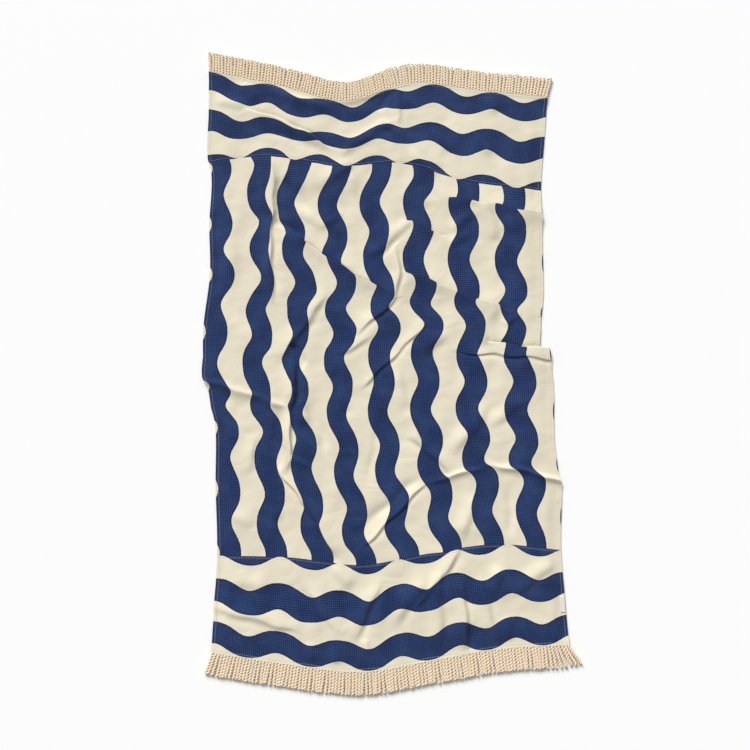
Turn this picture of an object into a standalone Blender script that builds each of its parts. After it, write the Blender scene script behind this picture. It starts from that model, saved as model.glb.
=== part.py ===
"""Beach towel, laid loosely on a flat surface.

The towel is cut as three pieces of cloth: a body with the stripes running along it
and a border at each end with the stripes running across.  A cord fringe is sewn under
each end hem, and a small blank tape sits in one side hem.

Every point of the cloth has a place on the flat towel, (across, along), measured from
its middle.  laid() carries that place to the towel as it lies: first onto a smooth
sheet, given by a row of stations for each cross-section, and then through the folds,
one row each, which push the cloth up and take up its length.

Units are metres, +Z is up, the surface below the towel is z = 0 and the middle of the
towel's box is above the origin.
"""
import math
from collections import namedtuple

import bmesh
import bpy
import numpy as np

# ---------------------------------------------------------------- driving sizes
WIDTH = 1.000              # across the towel, selvedge to selvedge
BODY_LENGTH = 1.194        # the middle panel, seam to seam
BORDER_LENGTH = 0.273      # each end panel, seam to end hem
CLOTH_THICKNESS = 0.0016
PARTING = 0.0003           # air between pieces that are sewn together
STITCH = 0.002             # a short step into the cloth from a seam

SEAM = BODY_LENGTH / 2
END_HEM = SEAM + BORDER_LENGTH

FRINGE_CORDS = 112         # cords at each end
FRINGE_LENGTH = 0.054      # a cord, from its heading to its tip
HEADING_WIDTH = 0.006      # the strip that the cords are fused into
HEADING_HEIGHT = 0.0042
CORD_WIDTH = 0.0062
CORD_TIP_WIDTH = 0.0050
CORD_HEIGHT = 0.0056

TAPE_WIDTH = 0.015
TAPE_LENGTH = 0.048
TAPE_THICKNESS = 0.0009
TAPE_ALONG = -0.752        # middle of the tape, along the flat towel
TAPE_INSET = 0.0012        # from the selvedge to the tape's outer edge

COLUMN = 0.010             # spacing of the sheet's points before its flat parts are thinned
BODY_SHARE = 0.034         # share of the faces that is kept
BORDER_SHARE = 0.046

# ---------------------------------------------------------------- how the towel lies
# One row for each cross-section of the laid sheet, from the top hem to the bottom hem.
# x is given at four stations across the cloth, y at six.
STATIONS_X = (-0.5, -1 / 6, 1 / 6, 0.5)
STATIONS_Y = (-0.5, -0.3, -0.1, 0.1, 0.3, 0.5)
Section = namedtuple("Section", "along x y")
SECTIONS = (
    Section(END_HEM, (-0.510, -0.175, 0.140, 0.470), (0.850, 0.805, 0.765, 0.815, 0.790, 0.770)),
    Section(0.733, (-0.508, -0.185, 0.125, 0.458), (0.724, 0.686, 0.646, 0.684, 0.662, 0.636)),
    Section(SEAM, (-0.505, -0.195, 0.108, 0.445), (0.575, 0.590, 0.560, 0.570, 0.515, 0.490)),
    Section(0.575, (-0.500, -0.205, 0.106, 0.445), (0.560, 0.560, 0.535, 0.545, 0.490, 0.465)),
    Section(0.408, (-0.500, -0.210, 0.100, 0.445), (0.390, 0.385, 0.360, 0.375, 0.370, 0.360)),
    Section(0.242, (-0.495, -0.185, 0.105, 0.445), (0.245, 0.230, 0.215, 0.210, 0.205, 0.195)),
    Section(0.075, (-0.510, -0.195, 0.130, 0.435), (0.080, 0.070, 0.075, 0.100, 0.095, 0.080)),
    Section(-0.092, (-0.500, -0.195, 0.115, 0.465), (-0.075, -0.085, -0.075, -0.060, -0.060, -0.055)),
    Section(-0.258, (-0.470, -0.175, 0.124, 0.465), (-0.185, -0.205, -0.240, -0.225, -0.210, -0.225)),
    Section(-0.425, (-0.465, -0.155, 0.149, 0.480), (-0.355, -0.375, -0.405, -0.380, -0.340, -0.350)),
    Section(-SEAM, (-0.455, -0.130, 0.175, 0.475), (-0.535, -0.540, -0.560, -0.530, -0.505, -0.520)),
    Section(-0.733, (-0.460, -0.130, 0.182, 0.482), (-0.664, -0.692, -0.710, -0.670, -0.650, -0.646)),
    Section(-END_HEM, (-0.465, -0.130, 0.190, 0.490), (-0.790, -0.820, -0.840, -0.810, -0.780, -0.770)),
)

# The cloth is pushed sideways a little along one lengthwise line.
SLACK_PLACE = -0.370       # across the flat towel
SLACK_WIDTH = 0.095
SLACK_SHIFT = 0.012

# One row for each fold.  start and end are on the laid sheet, bow is how far the line
# between them bends to its left, tuck is the length of cloth that the fold takes up,
# slide is how far one side is drawn along the fold against the other, lean is 1 where
# the ridge falls over to the left of its line and -1 where it falls to the right, and
# reach is how far from the line the cloth is drawn in.
Fold = namedtuple("Fold", "start end bow tuck slide height width lean reach")
FOLDS = (
    # top border
    Fold((-0.428, 0.732), (-0.138, 0.594), 0.019, 0.022, 0.000, 0.008, 0.011, 1.0, 0.065),
    Fold((0.045, 0.718), (-0.150, 0.582), 0.000, 0.016, 0.000, 0.010, 0.019, 0.1, 0.065),
    Fold((0.042, 0.815), (0.036, 0.665), 0.000, 0.008, 0.000, 0.007, 0.011, 0.2, 0.055),
    # upper body
    Fold((-0.325, 0.602), (-0.322, 0.360), 0.000, 0.030, 0.010, 0.014, 0.019, 0.4, 0.130),
    Fold((-0.324, 0.440), (-0.312, 0.140), -0.008, 0.028, 0.000, 0.014, 0.018, 0.4, 0.120),
    Fold((-0.290, 0.390), (0.025, 0.185), -0.006, 0.025, 0.000, 0.010, 0.010, 0.9, 0.060),
    Fold((0.018, 0.345), (0.010, 0.150), 0.020, 0.014, 0.000, 0.013, 0.014, 0.5, 0.060),
    Fold((0.040, 0.410), (0.190, 0.360), 0.000, 0.014, 0.000, 0.005, 0.010, 1.0, 0.045),
    Fold((0.080, 0.455), (0.525, 0.375), 0.008, 0.052, 0.006, 0.011, 0.012, 1.0, 0.072),
    Fold((0.045, 0.260), (0.350, 0.140), 0.006, 0.033, 0.000, 0.009, 0.011, 1.0, 0.067),
    Fold((-0.155, 0.215), (-0.315, -0.015), 0.006, 0.028, 0.000, 0.015, 0.017, 0.5, 0.110),
    Fold((0.055, 0.200), (-0.105, 0.065), 0.003, 0.022, 0.000, 0.012, 0.013, 0.6, 0.060),
    Fold((-0.010, 0.106), (-0.172, 0.020), 0.024, 0.014, 0.000, 0.009, 0.012, 0.6, 0.055),
    Fold((0.132, 0.128), (-0.085, -0.090), 0.003, 0.015, 0.000, 0.008, 0.018, 0.3, 0.060),
    Fold((0.150, 0.062), (0.540, 0.020), -0.003, 0.024, -0.028, 0.007, 0.010, 1.0, 0.055),
    Fold((0.150, 0.036), (0.540, -0.004), -0.003, 0.022, 0.000, 0.009, 0.010, -1.0, 0.050),
    # lower body
    Fold((-0.570, -0.045), (-0.250, -0.160), 0.006, 0.040, -0.016, 0.010, 0.019, 0.1, 0.070),
    Fold((-0.255, 0.005), (-0.266, -0.150), 0.006, 0.021, 0.000, 0.015, 0.016, 0.5, 0.100),
    Fold((-0.276, -0.110), (-0.270, -0.325), 0.008, 0.024, 0.000, 0.016, 0.016, 0.5, 0.100),
    Fold((-0.355, -0.190), (-0.380, -0.325), 0.000, 0.010, 0.000, 0.006, 0.014, 0.5, 0.060),
    Fold((-0.315, -0.275), (-0.118, -0.560), -0.014, 0.017, 0.000, 0.019, 0.018, -0.4, 0.060),
    Fold((0.128, -0.318), (-0.085, -0.535), 0.000, 0.015, 0.000, 0.009, 0.016, 0.4, 0.060),
    Fold((0.050, -0.200), (0.200, -0.330), 0.008, 0.011, 0.000, 0.011, 0.014, -0.5, 0.055),
    Fold((0.105, -0.345), (0.295, -0.288), 0.000, 0.028, 0.000, 0.012, 0.013, 0.1, 0.067),
    Fold((0.255, -0.289), (0.555, -0.369), 0.014, 0.026, 0.000, 0.015, 0.013, 0.1, 0.067),
    # bottom border
    Fold((-0.490, -0.664), (-0.200, -0.740), 0.003, 0.016, 0.000, 0.012, 0.015, -0.4, 0.060),
    Fold((-0.225, -0.590), (-0.115, -0.755), 0.000, 0.011, 0.000, 0.008, 0.015, -0.4, 0.055),
    Fold((-0.010, -0.585), (-0.095, -0.775), 0.000, 0.008, 0.000, 0.010, 0.015, 0.5, 0.055),
    Fold((0.215, -0.495), (0.060, -0.685), 0.006, 0.016, 0.000, 0.012, 0.015, 0.4, 0.060),
    Fold((0.203, -0.575), (0.216, -0.812), 0.000, 0.014, 0.000, 0.014, 0.014, 0.4, 0.055),
)
FOLD_RUNOUT = 0.045        # length over which a fold dies away at each end
EASY_SLOPE = 0.90          # how much longer the open side of a leaning ridge is
SHORT_SLOPE = 0.20         # how much shorter the side is where it falls over
CREASE_PLACE = 0.60        # of the fold's width, from the ridge to the crease beside it
CREASE_WIDTH = 0.65        # of the fold's width, over which the cloth is drawn together
CREASE_EASE = 1.3          # how much wider a crease is where a fold hardly leans
TALLEST = 0.022            # a height that crossing folds come near to and don't pass
SETTLE = 0.0002            # cloth that would stand off by less than this lies flat
FLAT_AT_FRINGE = 0.030     # the cloth is down on the surface this close to its end hems
TABLES_TO_MIDDLE = (-0.0028, -0.0033)   # from the tables' origin to the middle of the towel

# The cords lean outwards near the corners: angle from straight out, in degrees, at
# stations across the towel, counted towards +X.
LEAN_STATIONS = (-0.5, -0.42, -0.2, 0.2, 0.44, 0.5)
TOP_LEAN = (-16, -6, 2, -2, 6, 14)
BOTTOM_LEAN = (-14, -8, -2, 2, 4, 38)


# ---------------------------------------------------------------- the laid sheet
def smoothstep(q):
    q = np.clip(q, 0.0, 1.0)
    return q * q * (3 - 2 * q)


def along_curve(places, values, at):
    """Smooth curve through values given at unevenly spaced, falling places."""
    p = np.array(places[::-1])
    c = np.array(values[::-1])
    step = np.diff(p)
    rise = np.diff(c) / step
    slope = np.concatenate((rise[:1], np.zeros(len(p) - 2), rise[-1:]))
    slope[1:-1] = (rise[:-1] * step[1:] + rise[1:] * step[:-1]) / (step[1:] + step[:-1])
    k = np.clip(np.searchsorted(p, at) - 1, 0, len(p) - 2)
    q = (at - p[k]) / step[k]
    low = c[k] * (2 * q**3 - 3 * q**2 + 1) + slope[k] * step[k] * (q**3 - 2 * q**2 + q)
    high = c[k + 1] * (3 * q**2 - 2 * q**3) + slope[k + 1] * step[k] * (q**3 - q**2)
    return low + high


def across_curve(stations, values, at):
    """Catmull-Rom curve across the cloth; values has one array for each station."""
    c = np.stack([2 * values[0] - values[1], *values, 2 * values[-1] - values[-2]])
    q = (at - stations[0]) / (stations[1] - stations[0])
    k = np.clip(np.floor(q).astype(int), 0, len(stations) - 2)
    f = q - k
    here = np.arange(len(at))
    a, b, d, e = (c[k + i, here] for i in range(4))
    return 0.5 * (2 * b + (d - a) * f + (2 * a - 5 * b + 4 * d - e) * f**2
                  + (3 * b - a - 3 * d + e) * f**3)


def smooth_sheet(across, along):
    """Place on the surface before the folds are pushed in."""
    places = [s.along for s in SECTIONS]
    xs = [along_curve(places, [s.x[i] for s in SECTIONS], along) for i in range(len(STATIONS_X))]
    ys = [along_curve(places, [s.y[i] for s in SECTIONS], along) for i in range(len(STATIONS_Y))]
    pushed = SLACK_SHIFT * np.exp(-((across - SLACK_PLACE) / SLACK_WIDTH) ** 2)
    pushed *= smoothstep((SEAM - np.abs(along)) / 0.15)
    return across_curve(STATIONS_X, xs, across) + pushed, across_curve(STATIONS_Y, ys, across)


def fold_shift(fold, x, y):
    """How one fold moves the cloth: in x, in y and up."""
    run_x = fold.end[0] - fold.start[0]
    run_y = fold.end[1] - fold.start[1]
    length = math.hypot(run_x, run_y)
    dir_x, dir_y = run_x / length, run_y / length
    t = ((x - fold.start[0]) * dir_x + (y - fold.start[1]) * dir_y) / length
    left = (y - fold.start[1]) * dir_x - (x - fold.start[0]) * dir_y
    left = left - fold.bow * 4 * t * (1 - t)
    end = min(0.4, FOLD_RUNOUT / length)
    fade = smoothstep(t / end) * smoothstep((1 - t) / end)

    # the ridge: a long slope on one side and a short one where it falls over
    easy = fold.width * (1 + EASY_SLOPE * abs(fold.lean))
    short = fold.width * (1 - SHORT_SLOPE * abs(fold.lean))
    if fold.lean >= 0:
        right_slope, left_slope = easy, short
    else:
        right_slope, left_slope = short, easy
    up = fold.height * np.exp(-(left / np.where(left < 0, right_slope, left_slope)) ** 2)

    # the tuck: the cloth is drawn together on the short side of the ridge
    crease_width = CREASE_WIDTH * (1 + CREASE_EASE * (1 - abs(fold.lean)))
    crease = np.tanh((left / fold.width - CREASE_PLACE * fold.lean) / crease_width)
    draw = (np.clip(left / fold.reach, -1, 1) - crease) * (np.abs(left) < fold.reach) / 2
    across_fold = fade * fold.tuck * draw
    along_fold = -fade * fold.slide * draw
    return (along_fold * dir_x - across_fold * dir_y,
            along_fold * dir_y + across_fold * dir_x,
            fade * up)


def laid(across, along):
    """Middle of the cloth's thickness, as the towel lies."""
    sheet_x, sheet_y = smooth_sheet(across, along)
    x, y = sheet_x.copy(), sheet_y.copy()
    z = np.zeros_like(x)
    for fold in FOLDS:
        dx, dy, dz = fold_shift(fold, sheet_x, sheet_y)
        x += dx
        y += dy
        z += dz
    z = TALLEST * np.tanh(z / TALLEST) * smoothstep((END_HEM - np.abs(along)) / FLAT_AT_FRINGE)
    z = np.maximum(z - SETTLE, 0) + CLOTH_THICKNESS / 2
    return np.stack((x + TABLES_TO_MIDDLE[0], y + TABLES_TO_MIDDLE[1], z), axis=1)


# ---------------------------------------------------------------- Blender helpers
def clear_scene():
    for obj in list(bpy.data.objects):
        bpy.data.objects.remove(obj, do_unlink=True)


def new_collection(name):
    collection = bpy.data.collections.new(name)
    bpy.context.scene.collection.children.link(collection)
    return collection


def cloth_material(name, colour, roughness):
    material = bpy.data.materials.new(name)
    material.use_nodes = True
    shader = material.node_tree.nodes["Principled BSDF"]
    shader.inputs["Base Color"].default_value = (*colour, 1.0)
    shader.inputs["Roughness"].default_value = roughness
    shader.inputs["Metallic"].default_value = 0.0
    return material


def add_object(name, bm, collection, material):
    mesh = bpy.data.meshes.new(name)
    bm.to_mesh(mesh)
    bm.free()
    obj = bpy.data.objects.new(name, mesh)
    collection.objects.link(obj)
    obj.data.materials.append(material)
    return obj


def flat_panel(low, high, columns, rows):
    """A flat grid of the cloth, finer inside than along the two edges that are sewn."""
    bm = bmesh.new()
    bmesh.ops.create_grid(bm, x_segments=columns, y_segments=rows, size=0.5)
    for vert in bm.verts:
        vert.co = (vert.co.x * WIDTH, low + (vert.co.y + 0.5) * (high - low), 0.0)
    middle = (low + high) / 2
    sewn = (high - low) / 2 - PARTING
    inner = [e for e in bm.edges if any(abs(v.co.y - middle) < sewn for v in e.verts)]
    bmesh.ops.subdivide_edges(bm, edges=inner, cuts=1, use_grid_fill=True)
    bmesh.ops.triangulate(bm, faces=[f for f in bm.faces if len(f.verts) > 4])
    return bm


def cloth_panel(name, low, high, share, collection, material):
    """One piece of cloth from low to high along the towel, as it lies."""
    columns = round(WIDTH / COLUMN)
    rows = round((high - low) / COLUMN)
    bm = flat_panel(low, high, columns, rows)
    flat = np.array([v.co for v in bm.verts])
    places = laid(flat[:, 0], flat[:, 1])
    sewn = np.minimum(flat[:, 1] - low, high - flat[:, 1]) < PARTING
    inward = np.where(flat[:, 1] < (low + high) / 2, STITCH, -STITCH)
    pull = laid(flat[:, 0], flat[:, 1] + inward) - places
    pull /= np.linalg.norm(pull, axis=1)[:, None]
    places[sewn] += pull[sewn] * PARTING * 0.6
    for vert, place in zip(bm.verts, places):
        vert.co = place
    panel = add_object(name, bm, collection, material)

    # the sewn edges keep all their points, so that neighbours match along the seam
    free = panel.vertex_groups.new(name="free")
    free.add([int(i) for i in np.flatnonzero(~sewn)], 1.0, "REPLACE")
    thin_out = panel.modifiers.new("thin out", "DECIMATE")
    thin_out.decimate_type = "COLLAPSE"
    thin_out.ratio = share
    thin_out.vertex_group = free.name
    wall = panel.modifiers.new("cloth thickness", "SOLIDIFY")
    wall.thickness = CLOTH_THICKNESS
    wall.offset = 0.0
    panel.data.shade_smooth()
    return panel


# ---------------------------------------------------------------- fringe and tape
def hem_frame(end, across):
    """Points of an end hem on the surface and the direction straight out from it."""
    point = laid(across, np.full_like(across, end * END_HEM))[:, :2]
    tangent = np.gradient(point, axis=0)
    tangent /= np.linalg.norm(tangent, axis=1)[:, None]
    out = np.stack((-tangent[:, 1], tangent[:, 0]), axis=1) * end
    return point, out


def even_stations(end, count):
    """Places across the towel that are evenly spaced along the laid hem."""
    across = np.linspace(-WIDTH / 2, WIDTH / 2, 801)
    point, _ = hem_frame(end, across)
    run = np.concatenate(([0], np.cumsum(np.linalg.norm(np.diff(point, axis=0), axis=1))))
    return np.interp(np.linspace(0, run[-1], count), run, across), run[-1]


def fringe(name, end, lean_table, collection, material):
    """A heading strip along the hem, with a four-sided cord drawn out of it for each cord."""
    _, hem_run = even_stations(end, 2)
    pitch = hem_run / FRINGE_CORDS
    half_cord = 0.5 * CORD_WIDTH / pitch
    edges = np.array([(i + 0.5 + s * half_cord) / FRINGE_CORDS
                      for i in range(FRINGE_CORDS) for s in (-1, 1)])
    edges = np.concatenate(([0.0], edges, [1.0]))
    fine, _ = even_stations(end, 801)
    across = np.interp(edges, np.linspace(0, 1, len(fine)), fine)
    point, out = hem_frame(end, across)

    # the heading: four rails, joined into a bar with a face for each cord
    inner = point + out * PARTING
    outer = point + out * (PARTING + HEADING_WIDTH)
    bm = bmesh.new()
    rails = [[bm.verts.new((x, y, z)) for x, y in side]
             for side, z in ((inner, 0), (outer, 0), (outer, HEADING_HEIGHT), (inner, HEADING_HEIGHT))]
    for a, b in zip(rails, rails[1:] + rails[:1]):
        for i in range(len(edges) - 1):
            bm.faces.new((a[i], a[i + 1], b[i + 1], b[i]))
    bm.faces.new([rail[0] for rail in rails])
    bm.faces.new([rail[-1] for rail in rails])
    bmesh.ops.recalc_face_normals(bm, faces=bm.faces)

    # the cords: every second outer face is drawn out and narrowed to a tip
    bm.faces.index_update()
    bm.faces.ensure_lookup_table()
    first_outer = len(edges) - 1
    roots = [bm.faces[first_outer + 1 + 2 * i] for i in range(FRINGE_CORDS)]
    for i, root in enumerate(roots):
        middle = (i + 0.5) / FRINGE_CORDS - 0.5
        lean = math.radians(np.interp(middle, LEAN_STATIONS, lean_table))
        way = out[1 + 2 * i] + out[2 + 2 * i] + np.array((0.0, end)) * 2
        way = way / np.linalg.norm(way)
        turn = -lean * end
        way = np.array((way[0] * math.cos(turn) - way[1] * math.sin(turn),
                        way[0] * math.sin(turn) + way[1] * math.cos(turn)))
        side = np.array((way[1], -way[0]))
        length = FRINGE_LENGTH * (1 + 0.035 * math.sin(2.4 * i) + 0.025 * math.sin(0.7 * i + 1))
        tip = bmesh.ops.extrude_discrete_faces(bm, faces=[root])["faces"][0]
        centre = np.array(tip.calc_center_median()[:2]) + way * length
        for vert in tip.verts:
            offset = np.array(vert.co[:2]) - np.array(tip.calc_center_median()[:2])
            sign = math.copysign(1.0, float(offset @ side))
            top = vert.co.z > HEADING_HEIGHT / 2
            spot = centre + side * sign * CORD_TIP_WIDTH / 2
            vert.tag = top
            vert.co = (*spot, CORD_HEIGHT if top else 0.0)
    return add_object(name, bm, collection, material)


def side_label(name, collection, material):
    """The small blank label, a tape that lies on the right-hand hem of the bottom border."""
    bm = bmesh.new()
    bmesh.ops.create_grid(bm, x_segments=2, y_segments=4, size=0.5)
    middle = WIDTH / 2 - TAPE_INSET - TAPE_WIDTH / 2
    flat = np.array([v.co for v in bm.verts])
    places = laid(middle + flat[:, 0] * TAPE_WIDTH, TAPE_ALONG + flat[:, 1] * TAPE_LENGTH)
    places[:, 2] += CLOTH_THICKNESS / 2 + PARTING
    for vert, place in zip(bm.verts, places):
        vert.co = place
    bmesh.ops.recalc_face_normals(bm, faces=bm.faces)
    tape = add_object(name, bm, collection, material)
    wall = tape.modifiers.new("tape thickness", "SOLIDIFY")
    wall.thickness = TAPE_THICKNESS
    wall.offset = 1.0
    return tape


# ---------------------------------------------------------------- the towel
def build():
    clear_scene()
    towel = new_collection("beach_towel")
    weave = cloth_material("striped cotton", (0.18, 0.21, 0.30), 0.95)
    border_weave = cloth_material("border cotton", (0.30, 0.32, 0.36), 0.95)
    cord = cloth_material("cord cotton", (0.72, 0.63, 0.48), 0.95)
    tape = cloth_material("plain tape", (0.80, 0.78, 0.72), 0.80)

    cloth_panel("body_cloth", -SEAM, SEAM, BODY_SHARE, towel, weave)
    cloth_panel("top_border", SEAM, END_HEM, BORDER_SHARE, towel, border_weave)
    cloth_panel("bottom_border", -END_HEM, -SEAM, BORDER_SHARE, towel, border_weave)
    fringe("top_fringe", 1, TOP_LEAN, towel, cord)
    fringe("bottom_fringe", -1, BOTTOM_LEAN, towel, cord)
    side_label("side_label", towel, tape)


build()
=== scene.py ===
# %% [markdown]
# # A beach towel, spread out and a little rumpled
#
# The towel is three pieces of cotton cloth sewn end to end, with a cord fringe under each
# end hem and a small plain label in one side hem.  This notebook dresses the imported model:
# it lays a fine sheet of cloth for each piece on nearly the same folds, weaves the wavy
# stripes in a material, and twists the fringe with Geometry Nodes.

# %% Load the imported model
import math
from collections import namedtuple

import bmesh
import bpy
import numpy as np
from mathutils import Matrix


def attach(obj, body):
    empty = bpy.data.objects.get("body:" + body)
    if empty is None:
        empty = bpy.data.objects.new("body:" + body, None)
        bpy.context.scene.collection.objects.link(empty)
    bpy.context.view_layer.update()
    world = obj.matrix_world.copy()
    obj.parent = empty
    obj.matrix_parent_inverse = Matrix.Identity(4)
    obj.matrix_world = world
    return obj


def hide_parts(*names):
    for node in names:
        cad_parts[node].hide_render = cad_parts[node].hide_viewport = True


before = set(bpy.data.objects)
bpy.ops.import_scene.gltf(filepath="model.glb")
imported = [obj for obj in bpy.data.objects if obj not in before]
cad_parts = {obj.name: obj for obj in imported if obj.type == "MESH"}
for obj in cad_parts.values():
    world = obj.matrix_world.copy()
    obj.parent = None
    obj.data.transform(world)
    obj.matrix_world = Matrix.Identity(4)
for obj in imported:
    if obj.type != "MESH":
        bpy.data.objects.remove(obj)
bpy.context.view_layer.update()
scene = bpy.context.scene
print("nodes:", ", ".join(sorted(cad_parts)))

# %% [markdown]
# ## Where we stand
#
# The towel lies on the floor and is seen from almost three metres above its lower half,
# nearly straight down.  A 50 mm lens is close to what the eye sees.  The camera comes
# first, because it decides which detail is worth making.

# %% Camera
CAMERA_TILT = math.radians(8.6)      # away from straight down, towards the upper end
CAMERA_DISTANCE = 2.894
CAMERA_AIM = (-0.031, -0.044)        # the point on the floor in the middle of the view

lens = bpy.data.cameras.new("camera")
lens.lens = 50
lens.sensor_width = 36
camera = bpy.data.objects.new("camera", lens)
camera.location = (CAMERA_AIM[0],
                   CAMERA_AIM[1] - CAMERA_DISTANCE * math.sin(CAMERA_TILT),
                   CAMERA_DISTANCE * math.cos(CAMERA_TILT))
camera.rotation_euler = (CAMERA_TILT, 0, 0)
scene.collection.objects.link(camera)
scene.camera = camera

# %% [markdown]
# ## One way to add a node, and one to add a piece
#
# Materials and Geometry Nodes are both node trees.  A small helper adds a node, sets its
# options and fills its inputs; an input can be a plain value or another node's output.
# The other helpers stand for the few things that the materials here need again and again:
# a sum, a noise, a mix of two colours and a relief.

# %% Node helpers
def add_node(tree, kind, inputs=None, **options):
    node = tree.nodes.new(kind)
    for name, value in options.items():
        setattr(node, name, value)
    for place, value in (inputs or {}).items():
        if isinstance(value, bpy.types.NodeSocket):
            tree.links.new(value, node.inputs[place])
        else:
            node.inputs[place].default_value = value
    return node


def output(tree, kind, inputs=None, **options):
    """A new node's first output."""
    return add_node(tree, kind, inputs, **options).outputs[0]


def calc(tree, operation, *values, kind="ShaderNodeMath"):
    """A Math node's output."""
    return output(tree, kind, dict(enumerate(values)), operation=operation)


def calc_vector(tree, operation, *values):
    """A Vector Math node's output; a single number stands for all three of a vector's."""
    return calc(tree, operation, *values, kind="ShaderNodeVectorMath")


def total(tree, *parts):
    """The sum of some values, each times its share."""
    result = 0.0
    for value, share in parts:
        result = calc(tree, "MULTIPLY_ADD", value, share, result)
    return result


def noise(tree, place, scale, detail=2.0, distortion=0.0):
    """A soft random value for each place, about 0.5 in the middle."""
    return add_node(tree, "ShaderNodeTexNoise", {"Vector": place, "Scale": scale, "Detail": detail,
                                                 "Distortion": distortion}).outputs["Fac"]


def blend(tree, share, first, second):
    """A mix of two colours, which are a Mix node's inputs 6 and 7; each is three numbers or
    another node's output."""
    ends = [c if isinstance(c, bpy.types.NodeSocket) else (*c, 1) for c in (first, second)]
    return add_node(tree, "ShaderNodeMix", {0: share, 6: ends[0], 7: ends[1]},
                    data_type="RGBA").outputs[2]


def new_material(name, roughness):
    material = bpy.data.materials.new(name)
    material.use_nodes = True
    shader = material.node_tree.nodes["Principled BSDF"]
    shader.inputs["Roughness"].default_value = roughness
    return material, material.node_tree, shader


def paint(tree, shader, colour):
    tree.links.new(colour, shader.inputs["Base Color"])


def emboss(tree, shader, height, strength, depth):
    """Relief in a surface; depth in metres is what a height of 1 stands for."""
    bump = add_node(tree, "ShaderNodeBump", {"Height": height, "Strength": strength, "Distance": depth})
    tree.links.new(bump.outputs["Normal"], shader.inputs["Normal"])


# %% Piece helper
def add_piece(name, mesh, material=None):
    if material:
        mesh.materials.append(material)
    piece = bpy.data.objects.new(name, mesh)
    scene.collection.objects.link(piece)
    return piece


# %% [markdown]
# ## Floor and light
#
# A plain pale floor, soft light from all round, and one wide low window beyond the upper
# end.  Low light is what makes folds readable: the slopes that face it are bright and the
# ones that turn away are dim.

# %% Floor and light
FLOOR_SIZE = 60.0
FLOOR_COLOUR = (0.94, 0.94, 0.94)
FLOOR_MOTTLE = 0.985       # its darker spots, as a share of that colour
SKY_STRENGTH = 0.34

floor_material, floor_tree, floor_shader = new_material("pale floor", roughness=0.9)
floor_grain = add_node(floor_tree, "ShaderNodeTexNoise", {"Scale": 3.0, "Detail": 2.0}).outputs["Fac"]
paint(floor_tree, floor_shader,
      blend(floor_tree, floor_grain, FLOOR_COLOUR, [FLOOR_MOTTLE * c for c in FLOOR_COLOUR]))

floor_mesh = bpy.data.meshes.new("floor")
half = FLOOR_SIZE / 2
floor_mesh.from_pydata([(-half, -half, 0), (half, -half, 0), (half, half, 0), (-half, half, 0)],
                       [], [(0, 1, 2, 3)])
floor = add_piece("floor", floor_mesh, floor_material)

world = bpy.data.worlds.new("studio")
scene.world = world
world.use_nodes = True
world.node_tree.nodes["Background"].inputs["Color"].default_value = (1.0, 1.0, 1.0, 1)
world.node_tree.nodes["Background"].inputs["Strength"].default_value = SKY_STRENGTH
scene.view_settings.view_transform = "Standard"

WINDOW_FROM = (-0.42, 0.91)            # the side that the light comes from, seen from above
WINDOW_HEIGHT = math.radians(37)       # above the floor
WINDOW_SPREAD = math.radians(30)       # a wide light has soft shadows
WINDOW_STRENGTH = 3.65

window = bpy.data.lights.new("window", "SUN")
window.energy = WINDOW_STRENGTH
window.angle = WINDOW_SPREAD
window_object = bpy.data.objects.new("window", window)
window_object.rotation_euler = (math.pi / 2 - WINDOW_HEIGHT, 0,
                                math.atan2(WINDOW_FROM[1], WINDOW_FROM[0]) + math.pi / 2)
scene.collection.objects.link(window_object)
print(f"window {math.degrees(WINDOW_HEIGHT):.0f} degrees above the floor")

# %% [markdown]
# ## The flat towel
#
# Every point of the cloth has a place on the flat towel: how far across it is and how far
# along, measured from the middle.  The stripes, the hems and the stitches are all drawn
# there, and the folds carry them along when the towel is laid.

# %% Sizes of the flat towel
WIDTH = 1.000
BODY_LENGTH = 1.194
BORDER_LENGTH = 0.273
SEAM = BODY_LENGTH / 2
END_HEM = SEAM + BORDER_LENGTH
CLOTH_THICKNESS = 0.0016
print(f"cloth {WIDTH:.2f} x {2 * END_HEM:.3f} m, seams at {SEAM:.3f} m")

# %% [markdown]
# ## How it lies
#
# Two tables say how the cloth lies.  The first gives cross-sections of a smooth sheet and
# settles the outline.  The second is a list of folds.  A fold is a ridge where the cloth
# is pushed up and falls over to one side, and it takes up some of the cloth's length,
# which is why the stripes jump across it.  The solids of the model have nearly the same
# rows; here some folds lie a little elsewhere or lower, and one is added.

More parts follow.
